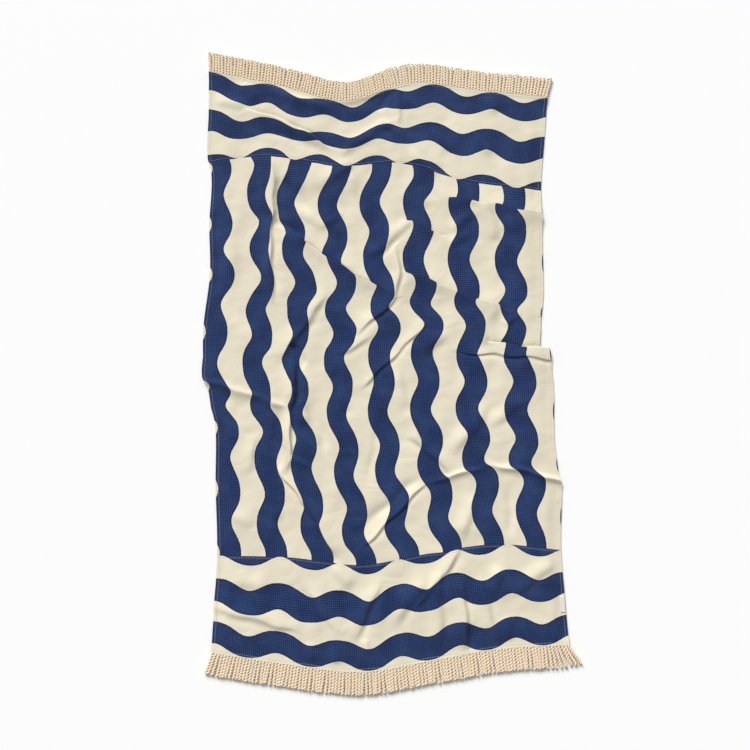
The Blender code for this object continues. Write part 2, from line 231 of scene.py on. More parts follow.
# %% Cross-sections of the sheet
STATIONS_X = (-0.5, -1 / 6, 1 / 6, 0.5)
STATIONS_Y = (-0.5, -0.3, -0.1, 0.1, 0.3, 0.5)
Section = namedtuple("Section", "along x y")
SECTIONS = [Section(*row) for row in (
    (END_HEM, (-0.510, -0.175, 0.140, 0.470), (0.850, 0.805, 0.758, 0.813, 0.790, 0.770)),
    (0.733, (-0.508, -0.185, 0.125, 0.458), (0.724, 0.684, 0.656, 0.687, 0.666, 0.640)),
    (SEAM, (-0.505, -0.195, 0.108, 0.445), (0.575, 0.590, 0.560, 0.570, 0.515, 0.490)),
    (0.575, (-0.500, -0.205, 0.106, 0.445), (0.560, 0.560, 0.535, 0.545, 0.490, 0.465)),
    (0.408, (-0.500, -0.210, 0.100, 0.445), (0.390, 0.385, 0.360, 0.375, 0.370, 0.360)),
    (0.242, (-0.495, -0.185, 0.105, 0.445), (0.245, 0.230, 0.215, 0.210, 0.205, 0.195)),
    (0.075, (-0.510, -0.195, 0.130, 0.435), (0.080, 0.070, 0.075, 0.100, 0.095, 0.080)),
    (-0.092, (-0.500, -0.195, 0.115, 0.465), (-0.075, -0.085, -0.075, -0.060, -0.060, -0.055)),
    (-0.258, (-0.470, -0.175, 0.124, 0.465), (-0.185, -0.205, -0.240, -0.225, -0.210, -0.225)),
    (-0.425, (-0.465, -0.155, 0.149, 0.480), (-0.355, -0.375, -0.405, -0.380, -0.340, -0.350)),
    (-SEAM, (-0.455, -0.130, 0.175, 0.475), (-0.535, -0.540, -0.560, -0.530, -0.505, -0.520)),
    (-0.733, (-0.460, -0.130, 0.182, 0.482), (-0.664, -0.692, -0.710, -0.670, -0.650, -0.646)),
    (-END_HEM, (-0.465, -0.130, 0.190, 0.490), (-0.790, -0.820, -0.840, -0.810, -0.780, -0.770)),
)]
SLACK_PLACE = -0.370       # across; the cloth is pushed sideways a little along this line
SLACK_WIDTH = 0.095
SLACK_SHIFT = 0.012
SLACK_RUNOUT = 0.15        # from the seams

# %% Folds
# bow and slide come last, and are left out where they are nothing
Fold = namedtuple("Fold", "start end tuck height width lean reach bow slide", defaults=(0, 0))
FOLDS = [Fold(*row) for row in (
    # top border
    ((-0.428, 0.732), (-0.138, 0.594), 0.022, 0.008, 0.013, 0.7, 0.065, 0.019),
    ((0.045, 0.718), (-0.150, 0.582), 0.016, 0.010, 0.019, 0.1, 0.065),
    ((0.042, 0.815), (0.036, 0.665), 0.008, 0.007, 0.011, 0.2, 0.055),
    # upper body
    ((-0.325, 0.602), (-0.322, 0.360), 0.030, 0.012, 0.021, 0.4, 0.130, 0, 0.010),
    ((-0.324, 0.440), (-0.312, 0.140), 0.028, 0.014, 0.018, 0.4, 0.120, -0.008),
    ((-0.290, 0.373), (0.025, 0.170), 0.025, 0.010, 0.010, 0.9, 0.060, -0.005),
    ((0.018, 0.345), (0.010, 0.150), 0.014, 0.013, 0.014, 0.5, 0.060, 0.020),
    ((0.035, 0.404), (0.180, 0.342), 0.028, 0.007, 0.010, 1.0, 0.050),
    ((0.130, 0.459), (0.525, 0.381), 0.050, 0.011, 0.012, 1.0, 0.072, 0.004, 0.006),
    ((0.045, 0.252), (0.350, 0.132), 0.033, 0.009, 0.011, 1.0, 0.067, -0.008),
    ((-0.155, 0.215), (-0.315, -0.015), 0.028, 0.010, 0.021, 0.3, 0.110, 0.006),
    ((0.055, 0.200), (-0.105, 0.065), 0.022, 0.009, 0.014, 0.5, 0.060, 0.003),
    ((-0.010, 0.106), (-0.172, 0.020), 0.014, 0.006, 0.014, 0.4, 0.055, 0.024),
    ((0.132, 0.128), (-0.085, -0.090), 0.018, 0.007, 0.013, 0.5, 0.060, 0.003),
    ((0.262, 0.050), (0.540, 0.020), 0.024, 0.005, 0.011, 1.0, 0.055, -0.002, -0.028),
    ((0.175, 0.033), (0.510, -0.001), 0.022, 0.006, 0.012, -0.7, 0.050, -0.003),
    ((0.362, 0.160), (0.325, 0.040), 0.018, 0.006, 0.012, 0.4, 0.055),
    # lower body
    ((-0.570, -0.043), (-0.250, -0.142), 0.040, 0.010, 0.019, 0.1, 0.070, 0.006, -0.016),
    ((-0.255, 0.005), (-0.266, -0.150), 0.021, 0.015, 0.016, 0.5, 0.100, 0.006),
    ((-0.276, -0.110), (-0.270, -0.325), 0.024, 0.016, 0.016, 0.5, 0.100, 0.008),
    ((-0.355, -0.190), (-0.380, -0.325), 0.010, 0.006, 0.014, 0.5, 0.060),
    ((-0.315, -0.275), (-0.118, -0.560), 0.023, 0.012, 0.013, -0.5, 0.060, 0.012),
    ((0.128, -0.318), (-0.085, -0.535), 0.015, 0.009, 0.011, 0.4, 0.060),
    ((0.050, -0.200), (0.200, -0.330), 0.011, 0.011, 0.014, -0.5, 0.055, 0.008),
    ((0.105, -0.345), (0.295, -0.288), 0.028, 0.010, 0.014, 0.1, 0.067),
    ((0.255, -0.289), (0.555, -0.369), 0.026, 0.012, 0.014, 0.1, 0.067, 0.014),
    # bottom border
    ((-0.490, -0.664), (-0.200, -0.740), 0.016, 0.008, 0.018, -0.4, 0.060, 0.003),
    ((-0.225, -0.590), (-0.115, -0.755), 0.011, 0.008, 0.015, -0.4, 0.055),
    ((-0.010, -0.585), (-0.095, -0.775), 0.008, 0.010, 0.015, 0.5, 0.055),
    ((0.215, -0.495), (0.060, -0.685), 0.016, 0.012, 0.015, 0.4, 0.060, 0.006),
    ((0.203, -0.575), (0.216, -0.812), 0.014, 0.014, 0.014, 0.4, 0.055),
)]
FOLD_RUNOUT = 0.045
HEIGHT_RUNOUT = 0.085
WANDER = 0.0025            # how far a fold strays to either side of its line
WANDER_LENGTH = 0.105
WANDER_START = (40, 9)     # so no two folds wander alike
EASY_SLOPE = 1.10
SHORT_SLOPE = 0.30
RISE_PLACE = 2.1           # where the cloth rises again beside a fold, in fold widths
RISE_SHARE = 0.80
RISE_WIDTHS = (0.7, 2.4)   # how fast it rises and how slowly it falls off again
CREASE_PLACE = 0.60
CREASE_WIDTH = 0.60
CREASE_EASE = 1.3          # how much wider a crease is where a fold hardly leans
TALLEST = 0.026
FLAT_AT_FRINGE = 0.034     # where the cloth settles to the height of the fringe
HEADING_HEIGHT = 0.0062
TABLES_TO_MIDDLE = (-0.0028, -0.0033)
print(len(FOLDS), "folds")

# %% [markdown]
# Round the folds the cloth is rumpled.  These soft ridges and troughs are wide and low, so
# they take up hardly any cloth and leave the stripes where they are.

# %% Ripples
Ripple = namedtuple("Ripple", "start end height width lean bow", defaults=(0, 0))
RIPPLES = [Ripple(*row) for row in (
    # top border
    ((-0.350, 0.812), (-0.140, 0.738), 0.012, 0.015, 0.3, -0.014),
    ((-0.405, 0.825), (-0.368, 0.750), 0.008, 0.013, 0.3),
    ((-0.510, 0.758), (-0.390, 0.742), 0.007, 0.014, -0.3),
    ((-0.150, 0.740), (0.010, 0.785), -0.009, 0.014, 0.3, -0.004),
    ((0.012, 0.800), (-0.020, 0.720), -0.006, 0.010),
    ((0.293, 0.785), (0.318, 0.715), 0.007, 0.011, 0.3),
    ((0.265, 0.660), (0.300, 0.585), 0.007, 0.010, 0.4),
    ((0.135, 0.690), (0.182, 0.595), 0.007, 0.011, 0.4),
    ((-0.010, 0.690), (0.060, 0.640), 0.006, 0.012, -0.3),
    ((-0.345, 0.668), (-0.145, 0.575), -0.004, 0.013, 0.0, 0.010),
    # upper body
    ((-0.296, 0.590), (-0.292, 0.350), -0.0055, 0.014, 0.0, 0.006),
    ((0.065, 0.615), (0.150, 0.530), 0.008, 0.012, 0.4),
    ((-0.285, 0.540), (-0.205, 0.410), -0.009, 0.013),
    ((-0.250, 0.570), (-0.235, 0.480), 0.008, 0.014, 0.3),
    ((-0.295, 0.412), (-0.225, 0.355), -0.009, 0.011),
    ((-0.260, 0.450), (-0.160, 0.365), 0.007, 0.013, -0.3),
    ((-0.185, 0.380), (-0.110, 0.430), 0.007, 0.012, -0.4),
    ((-0.205, 0.500), (-0.085, 0.590), 0.010, 0.018, -0.4, -0.010),
    ((-0.095, 0.545), (-0.020, 0.350), -0.008, 0.014),
    ((-0.065, 0.285), (0.075, 0.405), 0.013, 0.014, -0.5, -0.006),
    ((0.270, 0.450), (0.318, 0.335), 0.0135, 0.015, 0.4, 0.004),
    ((0.325, 0.385), (0.385, 0.360), 0.007, 0.012, -0.4),
    ((0.180, 0.370), (0.265, 0.415), 0.008, 0.012, -0.4),
    ((0.175, 0.322), (0.245, 0.362), 0.007, 0.012, -0.4),
    ((0.095, 0.505), (0.120, 0.430), 0.007, 0.012, 0.3),
    ((0.265, 0.180), (0.310, 0.105), 0.010, 0.013, 0.3),
    ((0.310, 0.100), (0.385, 0.145), 0.0055, 0.011, -0.3, -0.012),
    ((0.235, 0.150), (0.300, 0.035), 0.010, 0.014, 0.4, -0.006),
    ((0.175, 0.085), (0.100, 0.015), 0.009, 0.015, 0.3),
    ((-0.275, 0.045), (-0.220, -0.035), -0.009, 0.009, 0.0, 0.018),
    ((-0.160, 0.300), (-0.140, 0.150), 0.006, 0.020, 0.2, 0.008),
    ((-0.420, 0.480), (-0.430, 0.200), 0.006, 0.022, 0.2, -0.012),
    ((-0.440, 0.150), (-0.360, -0.030), 0.006, 0.020, 0.2, 0.010),
    # lower body
    ((-0.232, 0.010), (-0.242, -0.170), -0.008, 0.013),
    ((-0.303, -0.120), (-0.302, -0.335), -0.008, 0.013),
    ((-0.230, -0.105), (-0.165, -0.275), -0.008, 0.010, 0.0, 0.016),
    ((-0.245, -0.100), (-0.215, -0.190), 0.010, 0.015, 0.0, 0.010),
    ((-0.265, -0.265), (-0.200, -0.300), 0.008, 0.011, 0.3),
    ((-0.455, -0.415), (-0.360, -0.460), 0.005, 0.015, -0.3, 0.004),
    ((-0.345, -0.405), (-0.275, -0.435), 0.006, 0.012, -0.3),
    ((-0.135, -0.148), (-0.085, -0.152), -0.003, 0.006),
    ((-0.140, -0.270), (-0.070, -0.278), -0.0035, 0.006),
    ((-0.120, -0.428), (-0.045, -0.434), -0.0035, 0.007),
    ((-0.015, -0.155), (-0.047, -0.350), -0.0045, 0.010),
    ((0.025, -0.020), (0.060, -0.150), 0.010, 0.015, 0.3),
    ((0.055, -0.130), (0.098, -0.240), 0.009, 0.013, 0.3, 0.006),
    ((0.108, -0.303), (-0.110, -0.500), -0.006, 0.010),
    ((0.290, -0.110), (0.165, -0.265), 0.010, 0.015, 0.4, 0.012),
    ((0.400, -0.100), (0.275, -0.190), 0.009, 0.015, 0.4),
    ((0.340, -0.335), (0.340, -0.500), -0.007, 0.013),
    ((0.240, -0.360), (0.200, -0.500), 0.011, 0.014, 0.4, 0.006),
    ((0.425, 0.170), (0.430, 0.030), 0.006, 0.018, 0.2, 0.006),
    ((-0.130, -0.060), (-0.125, -0.260), 0.005, 0.020, 0.0, -0.006),
    # bottom border
    ((-0.150, -0.555), (-0.085, -0.620), 0.010, 0.016, -0.3),
    ((0.140, -0.560), (0.146, -0.790), 0.015, 0.013, 0.6),
    ((0.115, -0.560), (0.010, -0.725), 0.009, 0.015, 0.4, 0.006),
    ((0.252, -0.590), (0.300, -0.765), 0.011, 0.013, 0.4, -0.006),
    ((0.312, -0.560), (0.288, -0.650), 0.013, 0.012, 0.4),
    ((0.465, -0.540), (0.325, -0.640), 0.010, 0.014, 0.4, 0.006),
    ((0.325, -0.690), (0.332, -0.765), 0.009, 0.011, 0.3),
    ((-0.135, -0.765), (-0.133, -0.825), 0.009, 0.010, 0.4),
    ((-0.200, -0.760), (-0.195, -0.815), 0.006, 0.010, 0.3),
    ((-0.050, -0.750), (-0.045, -0.800), 0.006, 0.010, 0.3),
    ((-0.420, -0.590), (-0.310, -0.625), 0.006, 0.016, -0.2),
    ((0.235, -0.700), (0.232, -0.830), -0.007, 0.011),
)]
RIPPLE_RUNOUT = 0.32       # share of a ripple's length in which it fades at each end
print(len(RIPPLES), "ripples")

# %% [markdown]
# ## From flat to laid
#
# `laid` takes places on the flat towel and returns points in space.  It works on whole
# arrays at once, so a hundred thousand points cost no more effort to write than one.

# %% The smooth sheet
def smoothstep(q):
    q = np.clip(q, 0.0, 1.0)
    return q * q * (3 - 2 * q)


def along_curve(places, values, at):
    """Smooth curve through values given at unevenly spaced, falling places."""
    p = np.array(places[::-1])
    c = np.array(values[::-1])
    step = np.diff(p)
    rise = np.diff(c) / step
    slope = np.concatenate((rise[:1], np.zeros(len(p) - 2), rise[-1:]))
    slope[1:-1] = (rise[:-1] * step[1:] + rise[1:] * step[:-1]) / (step[1:] + step[:-1])
    k = np.clip(np.searchsorted(p, at) - 1, 0, len(p) - 2)
    q = (at - p[k]) / step[k]
    low = c[k] * (2 * q**3 - 3 * q**2 + 1) + slope[k] * step[k] * (q**3 - 2 * q**2 + q)
    high = c[k + 1] * (3 * q**2 - 2 * q**3) + slope[k + 1] * step[k] * (q**3 - q**2)
    return low + high


def across_curve(stations, values, at):
    """Catmull-Rom curve across the cloth; values has one array for each station."""
    c = np.stack([2 * values[0] - values[1], *values, 2 * values[-1] - values[-2]])
    q = (at - stations[0]) / (stations[1] - stations[0])
    k = np.clip(np.floor(q).astype(int), 0, len(stations) - 2)
    f = q - k
    here = np.arange(len(at))
    a, b, d, e = (c[k + i, here] for i in range(4))
    return 0.5 * (2 * b + (d - a) * f + (2 * a - 5 * b + 4 * d - e) * f**2
                  + (3 * b - a - 3 * d + e) * f**3)


def smooth_sheet(across, along):
    places = [s.along for s in SECTIONS]
    xs = [along_curve(places, [s.x[i] for s in SECTIONS], along) for i in range(len(STATIONS_X))]
    ys = [along_curve(places, [s.y[i] for s in SECTIONS], along) for i in range(len(STATIONS_Y))]
    pushed = SLACK_SHIFT * np.exp(-((across - SLACK_PLACE) / SLACK_WIDTH) ** 2)
    pushed *= smoothstep((SEAM - np.abs(along)) / SLACK_RUNOUT)
    return across_curve(STATIONS_X, xs, across) + pushed, across_curve(STATIONS_Y, ys, across)


# %% One fold, and all of them
def fold_place(fold, x, y):
    """Where a point is beside a fold: its distance to the left, how far along it is from
    0 to 1, and the fold's length and direction.  The line bows, and wanders a little."""
    run_x, run_y = fold.end[0] - fold.start[0], fold.end[1] - fold.start[1]
    length = math.hypot(run_x, run_y)
    dir_x, dir_y = run_x / length, run_y / length
    t = ((x - fold.start[0]) * dir_x + (y - fold.start[1]) * dir_y) / length
    left = (y - fold.start[1]) * dir_x - (x - fold.start[0]) * dir_y - fold.bow * 4 * t * (1 - t)
    first = WANDER_START[0] * fold.start[0] + WANDER_START[1] * fold.end[1]
    wander = np.sin(2 * math.pi * t * length / WANDER_LENGTH + first)
    return left - WANDER * wander, t, length, dir_x, dir_y


def faded(t, length, runout):
    end = min(0.5, runout / length)
    return smoothstep(t / end) * smoothstep((1 - t) / end)


def ridge(fold, left):
    """A rounded ridge beside a fold's line, short on the side that it leans to, where the
    cloth rises again beyond its foot."""
    easy = fold.width * (1 + EASY_SLOPE * abs(fold.lean))
    short = fold.width * (1 - SHORT_SLOPE * abs(fold.lean))
    to_lean = left if fold.lean >= 0 else -left
    main = np.exp(-(to_lean / np.where(to_lean < 0, easy, short)) ** 2)
    beyond = to_lean - RISE_PLACE * fold.width
    again = np.exp(-(beyond / (fold.width * np.where(beyond < 0, *RISE_WIDTHS))) ** 2)
    return fold.height * (main + RISE_SHARE * abs(fold.lean) * again)


def fold_shift(fold, x, y):
    """How one fold moves the cloth: in x, in y and up."""
    left, t, length, dir_x, dir_y = fold_place(fold, x, y)
    fade = faded(t, length, FOLD_RUNOUT)
    crease_width = CREASE_WIDTH * (1 + CREASE_EASE * (1 - abs(fold.lean)))
    crease = np.tanh((left / fold.width - CREASE_PLACE * fold.lean) / crease_width)
    draw = (np.clip(left / fold.reach, -1, 1) - crease) * (np.abs(left) < fold.reach) / 2
    across_fold = fade * fold.tuck * draw
    along_fold = -fade * fold.slide * draw
    return (along_fold * dir_x - across_fold * dir_y,
            along_fold * dir_y + across_fold * dir_x,
            faded(t, length, HEIGHT_RUNOUT) * ridge(fold, left))


# %% [markdown]
# Between the folds the cloth is never dead flat.  A few crossing waves of different
# lengths, a millimetre or two high, give it the slack look of washed cotton.  The hems are
# turned twice, so the cloth is a little thicker there.

# %% The laid cloth
Swell = namedtuple("Swell", "length heading height start")
SWELLS = [Swell(*row) for row in (
    (0.310, 25, 0.0016, 0.4),
    (0.190, 118, 0.0011, 2.1),
    (0.127, 62, 0.0010, 4.4),
    (0.083, 155, 0.0009, 1.3),
    (0.055, 8, 0.00055, 5.2),
    (0.037, 96, 0.00030, 0.9),
)]
SWELL_BEND = 0.11          # how far a swell's crests bend, in its own lengths
SWELL_BEND_RATE = 2.3
SWELL_FADE_RATE = 1.7      # how soon it fades and returns along a crest
BASE_HEIGHT = 0.0070       # how far the slack cloth lies above the floor
BASE_ROUNDING = 0.0006
SLACK_AT_SIDE = 0.050      # the cloth settles this near to its sides
SIDE_SHARE = 0.2           # of the slack that is left there
SIDE_HEM = 0.009
END_HEM_DEPTH = 0.008
HEM_RISE = 0.0010
HEM_ROUNDING = 0.003
SEAM_DIP = 0.0002
SEAM_DIP_WIDTH = 0.0016


def swell_height(x, y):
    z = np.zeros_like(x)
    for s in SWELLS:
        heading = math.radians(s.heading)
        run = x * math.cos(heading) + y * math.sin(heading)
        side = y * math.cos(heading) - x * math.sin(heading)
        bent = run + SWELL_BEND * s.length * np.sin(side / s.length * SWELL_BEND_RATE)
        fading = np.cos(side / s.length * SWELL_FADE_RATE + s.start)
        z += s.height * np.sin(2 * math.pi * bent / s.length + s.start) * fading
    return z


def laid(across, along, lift=0.0):
    """The towel's upper face."""
    sheet_x, sheet_y = smooth_sheet(across, along)
    x, y = sheet_x.copy(), sheet_y.copy()
    z = np.zeros_like(x)
    for fold in FOLDS:
        dx, dy, dz = fold_shift(fold, sheet_x, sheet_y)
        x += dx
        y += dy
        z += dz
    soft = BASE_HEIGHT + swell_height(sheet_x, sheet_y)
    for ripple in RIPPLES:
        left, t, length, _, _ = fold_place(ripple, sheet_x, sheet_y)
        soft += faded(t, length, RIPPLE_RUNOUT * length) * ridge(ripple, left)
    from_side = WIDTH / 2 - np.abs(across)
    from_end = END_HEM - np.abs(along)
    slack = smoothstep(from_side / SLACK_AT_SIDE)
    z += np.logaddexp(soft / BASE_ROUNDING, 0) * BASE_ROUNDING * (SIDE_SHARE + (1 - SIDE_SHARE) * slack)
    z = TALLEST * np.tanh(z / TALLEST)
    z += (HEADING_HEIGHT - z) * (1 - smoothstep(from_end / FLAT_AT_FRINGE))
    past_side_hem = from_side - SIDE_HEM + HEM_ROUNDING / 2
    past_end_hem = from_end - END_HEM_DEPTH + HEM_ROUNDING / 2
    hem = np.maximum(1 - smoothstep(past_side_hem / HEM_ROUNDING),
                     1 - smoothstep(past_end_hem / HEM_ROUNDING))
    z += HEM_RISE * hem + CLOTH_THICKNESS
    z += SEAM_DIP * (1 - np.exp(-((np.abs(along) - SEAM) / SEAM_DIP_WIDTH) ** 2))
    return np.stack((x + TABLES_TO_MIDDLE[0], y + TABLES_TO_MIDDLE[1], z + lift), axis=1)


# %% [markdown]
# ## The cloth as a mesh
#
# The sheet starts as an even grid on the flat towel.  Wide quads are enough where it lies
# smooth, and Subdivide halves them twice where a fold needs them.  Only then are the
# points moved to where they lie, so every new point sits exactly on the folds.

# %% Cut and lay one piece of cloth
COARSE = 0.0080            # quads where the cloth is smooth
NEAR_A_FOLD = (3.2, 1.7)   # in fold widths, where the quads are halved once and twice
NEAR_LEAN = 0.5            # how far that stretch shifts to the side that a fold leans to
FOLD_TIP = 0.02            # the share of a fold at each end that needs none
UV_SPAN = 1.25             # metres of cloth across the whole UV square


def near_folds(across, along, widths):
    x, y = smooth_sheet(across, along)
    near = np.zeros(len(x), dtype=bool)
    for fold in FOLDS:
        left, t, _, _, _ = fold_place(fold, x, y)
        place = left - NEAR_LEAN * fold.width * fold.lean
        near |= (np.abs(place) < widths * fold.width) & (t > FOLD_TIP) & (t < 1 - FOLD_TIP)
    return near


def cloth_piece(name, low, high, material):
    bm = bmesh.new()
    bmesh.ops.create_grid(bm, x_segments=round(WIDTH / COARSE),
                          y_segments=round((high - low) / COARSE), size=0.5)
    for vert in bm.verts:
        vert.co = (vert.co.x * WIDTH, low + (vert.co.y + 0.5) * (high - low), 0)
    for widths in NEAR_A_FOLD:
        flat = np.array([v.co for v in bm.verts])
        near = near_folds(flat[:, 0], flat[:, 1], widths)
        bm.verts.index_update()
        edges = [e for e in bm.edges if near[e.verts[0].index] and near[e.verts[1].index]]
        bmesh.ops.subdivide_edges(bm, edges=edges, cuts=1, use_grid_fill=True)
    bmesh.ops.triangulate(bm, faces=[f for f in bm.faces if len(f.verts) > 4])
    rim = [e for e in bm.edges if e.is_boundary]
    for edge in rim:
        edge.smooth = False

    uv_layer = bm.loops.layers.uv.new("flat")
    for face in bm.faces:
        for loop in face.loops:
            across, along = loop.vert.co.x + WIDTH / 2, loop.vert.co.y - low
            loop[uv_layer].uv = (across / UV_SPAN, along / UV_SPAN)
    flat = np.array([v.co for v in bm.verts])
    for vert, place in zip(bm.verts, laid(flat[:, 0], flat[:, 1])):
        vert.co = place

    # the cut edge shows the cloth's thickness
    turned = bmesh.ops.extrude_edge_only(bm, edges=rim)["geom"]
    for vert in (g for g in turned if isinstance(g, bmesh.types.BMVert)):
        vert.co.z -= CLOTH_THICKNESS
    for face in bm.faces:
        face.smooth = True
    mesh = bpy.data.meshes.new(name)
    bm.to_mesh(mesh)
    bm.free()
    print(f"{name}: {len(mesh.polygons)} faces")
    return add_piece(name, mesh, material)


# %% [markdown]
# ## Wavy stripes, woven in two colours
#
# The stripes are navy strokes of even width that follow a cosine.  The distance to the
# nearest stroke's middle line is a formula, so Math nodes can draw it sharply at any
# size.  It reads the UV map, which holds the place on the flat towel, and the folds carry
# it along.  The body's strokes run along the towel and the borders' run across.

# %% Stripe and weave sizes
STROKE = 0.060             # width of a navy stroke
PERIOD = 1 / 6             # length of one wave
EDGE_RAG = 0.0022          # how far its edge strays from yarn to yarn
EDGE_SOFTNESS = 0.0006
DEEP_NAVY = (0.0015, 0.0045)   # from its edge; the hollows show only further in
WAFFLE = 0.0052            # spacing of the weave's cells
THREAD = 0.0011
RIDGE_POWER = 3.0          # how narrow the raised threads between the hollows are
RAG_SCALE = 260.0
CLOUD_SCALE = 16.0
CREASE_SCALE = 11.0
HOLLOW_LIGHT = 1.15        # how much paler navy is in the hollows, and from yarn to yarn
YARN_LIGHT = 1.2
CREAM_SHADE = 0.35
WAFFLE_RELIEF = 0.13       # in millimetres, like the next two
YARN_RELIEF = 0.10
CREASE_RELIEF = 3.5
NAVY = (0.0015, 0.009, 0.057)
NAVY_LIT = (0.031, 0.065, 0.176)
CREAM = (0.790, 0.728, 0.570)
CREAM_DIM = (0.700, 0.640, 0.490)

Stripe = namedtuple("Stripe", "lengthwise first pitch swing crest")
BODY_STRIPE = Stripe(True, 0.024, 0.127, 0.013, BODY_LENGTH - 0.022)
TOP_STRIPE = Stripe(False, -0.018, 0.123, 0.0125, 0.012)
BOTTOM_STRIPE = Stripe(False, BORDER_LENGTH + 0.018, -0.123, 0.0125, 0.008)


# %% Cloth material
def wave(tree, operation, place, crest):
    """Cosine or sine of the stripe's wave at a place along it."""
    turn = calc(tree, "MULTIPLY", calc(tree, "SUBTRACT", place, crest), 2 * math.pi / PERIOD)
    return calc(tree, operation, turn)


def cloth_material(name, stripe):
    material, tree, shader = new_material(name, roughness=0.95)
    flat = add_node(tree, "ShaderNodeUVMap", uv_map="flat").outputs["UV"]
    place = calc_vector(tree, "MULTIPLY", flat, (UV_SPAN,) * 3)
    axes = add_node(tree, "ShaderNodeSeparateXYZ", {0: place})
    across, along = axes.outputs["X"], axes.outputs["Y"]
    run, side = (along, across) if stripe.lengthwise else (across, along)

    # distance from the nearest stroke's middle line, a little ragged from yarn to yarn
    ragged = calc(tree, "MULTIPLY", calc(tree, "SUBTRACT", noise(tree, place, RAG_SCALE), 0.5), EDGE_RAG)
    middle = calc(tree, "MULTIPLY", wave(tree, "COSINE", run, stripe.crest), stripe.swing)
    off = calc(tree, "SUBTRACT", calc(tree, "SUBTRACT", side, stripe.first), middle)
    pitch = abs(stripe.pitch)
    off = calc(tree, "WRAP", off, pitch / 2, -pitch / 2)
    steep = calc(tree, "MULTIPLY", wave(tree, "SINE", run, stripe.crest),
                 stripe.swing * 2 * math.pi / PERIOD)
    square = calc(tree, "SQRT", calc(tree, "MULTIPLY_ADD", steep, steep, 1.0))
    off = calc(tree, "ADD", calc(tree, "DIVIDE", calc(tree, "ABSOLUTE", off), square), ragged)
    inside = calc(tree, "SUBTRACT", STROKE / 2, off)
    navy = add_node(tree, "ShaderNodeMapRange",
                    {"Value": inside, "From Min": -EDGE_SOFTNESS, "From Max": EDGE_SOFTNESS},
                    interpolation_type="SMOOTHSTEP").outputs["Result"]
    deep = add_node(tree, "ShaderNodeMapRange",
                    {"Value": inside, "From Min": DEEP_NAVY[0],
                     "From Max": DEEP_NAVY[1]}).outputs["Result"]

    # waffle weave: raised threads around small hollows
    cells = calc_vector(tree, "MULTIPLY", place, (math.pi / WAFFLE,) * 3)
    cells = add_node(tree, "ShaderNodeSeparateXYZ", {0: cells})
    waves = [calc(tree, "ABSOLUTE", calc(tree, "SINE", cells.outputs[axis])) for axis in "XY"]
    waffle = calc(tree, "MAXIMUM", *(calc(tree, "POWER", w, RIDGE_POWER) for w in waves))
    hollow = calc(tree, "SUBTRACT", 1.0, waffle)
    yarn = noise(tree, place, 1 / THREAD, detail=3.0)
    mottle = calc(tree, "ADD", yarn, noise(tree, place, CLOUD_SCALE, detail=3.0))

    lit = total(tree, (calc(tree, "MULTIPLY", hollow, deep), HOLLOW_LIGHT),
                (calc(tree, "SUBTRACT", mottle, 1.0), YARN_LIGHT))
    dim = total(tree, (hollow, CREAM_SHADE), (mottle, CREAM_SHADE))
    paint(tree, shader, blend(tree, navy, blend(tree, dim, CREAM, CREAM_DIM),
                              blend(tree, lit, NAVY, NAVY_LIT)))

    # relief in millimetres: the weave, and the small creases of washed cotton
    creases = noise(tree, place, CREASE_SCALE, distortion=0.6)
    creases = calc(tree, "ABSOLUTE", calc(tree, "SUBTRACT", creases, 0.5))
    relief = total(tree, (waffle, WAFFLE_RELIEF), (yarn, YARN_RELIEF), (creases, CREASE_RELIEF))
    emboss(tree, shader, relief, strength=1.0, depth=0.001)
    shader.inputs["Specular IOR Level"].default_value = 0.2
    shader.inputs["Sheen Weight"].default_value = 0.10
    shader.inputs["Sheen Roughness"].default_value = 0.6
    return material


# %% Lay the three pieces
body = cloth_piece("towel_body", -SEAM, SEAM, cloth_material("body weave", BODY_STRIPE))
top = cloth_piece("towel_top_border", SEAM, END_HEM, cloth_material("top border weave", TOP_STRIPE))
bottom = cloth_piece("towel_bottom_border", -END_HEM, -SEAM,
                     cloth_material("bottom border weave", BOTTOM_STRIPE))

# %% [markdown]
# ## The fringe
#
# Each end has a fringe of thick two-ply cords.  A cord is a short curve, and Curve to
# Mesh sweeps a two-lobed profile along it while Set Curve Tilt turns the profile round,
# which gives the twist.  Geometry Nodes place one cord on every point of the hem and bend
# each a little differently.

# %% Where the cords start
FRINGE_CORDS = 112
HEM_POINTS = 801           # in which the hem is measured out
LEAN_STATIONS = (-0.5, -0.42, -0.2, 0.2, 0.44, 0.5)
TOP_LEAN = (-9, -4, 3, -2, 5, 13)      # degrees
BOTTOM_LEAN = (-14, -8, -2, 2, 4, 38)
LEAN_STRAY = 2.8           # degrees; cords lie a little askew, some more than others
STRAY_RATES = (1.3, 0.19)  # from cord to cord, and from one group of cords to the next
PHASE_STEP = 0.57          # turns from one cord's twist to the next one's
PHASE_STRAY = 0.12
PHASE_STRAY_RATE = 1.7


def hem_line(end, across):
    """Points along an end hem and the direction straight out from it."""
    point = laid(across, np.full_like(across, end * END_HEM))[:, :2]
    tangent = np.gradient(point, axis=0)
    tangent /= np.linalg.norm(tangent, axis=1)[:, None]
    return point, np.stack((-tangent[:, 1], tangent[:, 0]), axis=1) * end


